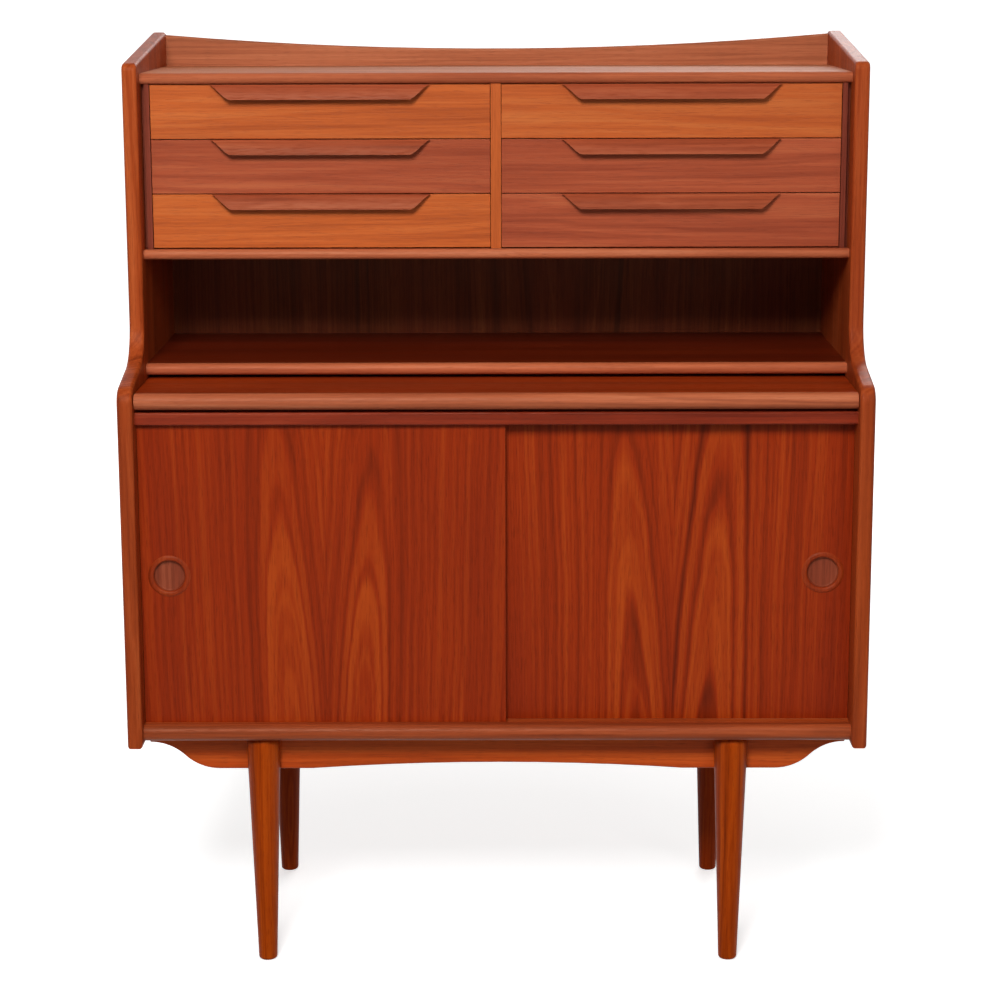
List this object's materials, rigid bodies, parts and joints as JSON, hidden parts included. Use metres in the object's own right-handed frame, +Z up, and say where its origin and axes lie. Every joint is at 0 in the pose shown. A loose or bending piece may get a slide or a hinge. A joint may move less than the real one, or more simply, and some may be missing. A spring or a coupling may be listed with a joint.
{
  "type": "secretary desk",
  "caption": "Teak secretary desk: a hutch of shallow drawers over an open niche, a writing leaf that slides out, and a cabinet with sliding doors on tapered legs.",
  "frame": {"origin": "on the floor, under the middle of the desk", "axes": "+X to the right seen from the front, +Y to the back, +Z up"},
  "size_m": [0.98, 0.42, 1.241],
  "materials": {
    "teak_case": "oiled teak veneer, satin",
    "teak_drawer": "oiled teak veneer, satin, grain across",
    "teak_door": "oiled teak veneer, satin, book-matched upright grain",
    "teak_solid": "solid teak, satin",
    "teak_turned": "turned teak, satin",
    "teak_back": "teak-faced plywood",
    "teak_base": "solid teak, satin",
    "teak_leg": "solid teak, satin",
    "beech": "plain beech",
    "plywood": "plain plywood",
    "brass": "plain brass",
    "steel": "dull plated steel"
  },
  "bodies": {
    "carcass": {"apron_front": "teak_base", "apron_rear": "teak_base", "back_screws": "steel", "bay_lining_left": "teak_solid", "bay_lining_right": "teak_solid", "cabinet_bottom": "teak_case", "cabinet_partition": "teak_case", "cabinet_shelf_left": "teak_case", "cabinet_shelf_right": "teak_case", "cabinet_top": "teak_case", "drawer_divider": "teak_solid", "drawer_runners": "beech", "drawer_shelf": "teak_case", "frame_screws": "steel", "gallery_board": "teak_solid", "leaf_guides": "beech", "leg_front_left": "teak_leg", "leg_front_right": "teak_leg", "leg_rear_left": "teak_leg", "leg_rear_right": "teak_leg", "lower_back": "teak_back", "niche_shelf": "teak_case", "shelf_pins": "brass", "side_panel_left": "teak_case", "side_panel_right": "teak_case", "stretcher_left": "beech", "stretcher_right": "beech", "top_shelf": "teak_case", "upper_back": "teak_back"},
    "sliding_door_left": {"door_left": "teak_door", "pull_left": "teak_turned"},
    "sliding_door_right": {"door_right": "teak_door", "pull_right": "teak_turned"},
    "drawer_left_bottom": {"drawer_left_bottom_bottom": "plywood", "drawer_left_bottom_box": "beech", "drawer_left_bottom_front": "teak_drawer", "drawer_left_bottom_handle": "teak_solid"},
    "drawer_left_middle": {"drawer_left_middle_bottom": "plywood", "drawer_left_middle_box": "beech", "drawer_left_middle_front": "teak_drawer", "drawer_left_middle_handle": "teak_solid"},
    "drawer_left_top": {"drawer_left_top_bottom": "plywood", "drawer_left_top_box": "beech", "drawer_left_top_front": "teak_drawer", "drawer_left_top_handle": "teak_solid"},
    "drawer_right_bottom": {"drawer_right_bottom_bottom": "plywood", "drawer_right_bottom_box": "beech", "drawer_right_bottom_front": "teak_drawer", "drawer_right_bottom_handle": "teak_solid"},
    "drawer_right_middle": {"drawer_right_middle_bottom": "plywood", "drawer_right_middle_box": "beech", "drawer_right_middle_front": "teak_drawer", "drawer_right_middle_handle": "teak_solid"},
    "drawer_right_top": {"drawer_right_top_bottom": "plywood", "drawer_right_top_box": "beech", "drawer_right_top_front": "teak_drawer", "drawer_right_top_handle": "teak_solid"},
    "leaf": {"leaf_lipping": "teak_solid", "leaf_stops": "beech", "writing_leaf": "teak_case"}
  },
  "joints": [
    {"name": "drawer_left_bottom_slide", "type": "slide", "parent": "carcass", "child": "drawer_left_bottom", "axis": [0, -1, 0], "range_m": [0, 0.19]},
    {"name": "drawer_left_middle_slide", "type": "slide", "parent": "carcass", "child": "drawer_left_middle", "axis": [0, -1, 0], "range_m": [0, 0.19]},
    {"name": "drawer_left_top_slide", "type": "slide", "parent": "carcass", "child": "drawer_left_top", "axis": [0, -1, 0], "range_m": [0, 0.19]},
    {"name": "drawer_right_bottom_slide", "type": "slide", "parent": "carcass", "child": "drawer_right_bottom", "axis": [0, -1, 0], "range_m": [0, 0.19]},
    {"name": "drawer_right_middle_slide", "type": "slide", "parent": "carcass", "child": "drawer_right_middle", "axis": [0, -1, 0], "range_m": [0, 0.19]},
    {"name": "drawer_right_top_slide", "type": "slide", "parent": "carcass", "child": "drawer_right_top", "axis": [0, -1, 0], "range_m": [0, 0.19]},
    {"name": "leaf_slide", "type": "slide", "parent": "carcass", "child": "leaf", "axis": [0, -1, 0], "range_m": [0, 0.25]},
    {"name": "sliding_door_left_slide", "type": "slide", "parent": "carcass", "child": "sliding_door_left", "axis": [1, 0, 0], "range_m": [0, 0.457]},
    {"name": "sliding_door_right_slide", "type": "slide", "parent": "carcass", "child": "sliding_door_right", "axis": [-1, 0, 0], "range_m": [0, 0.457]}
  ]
}
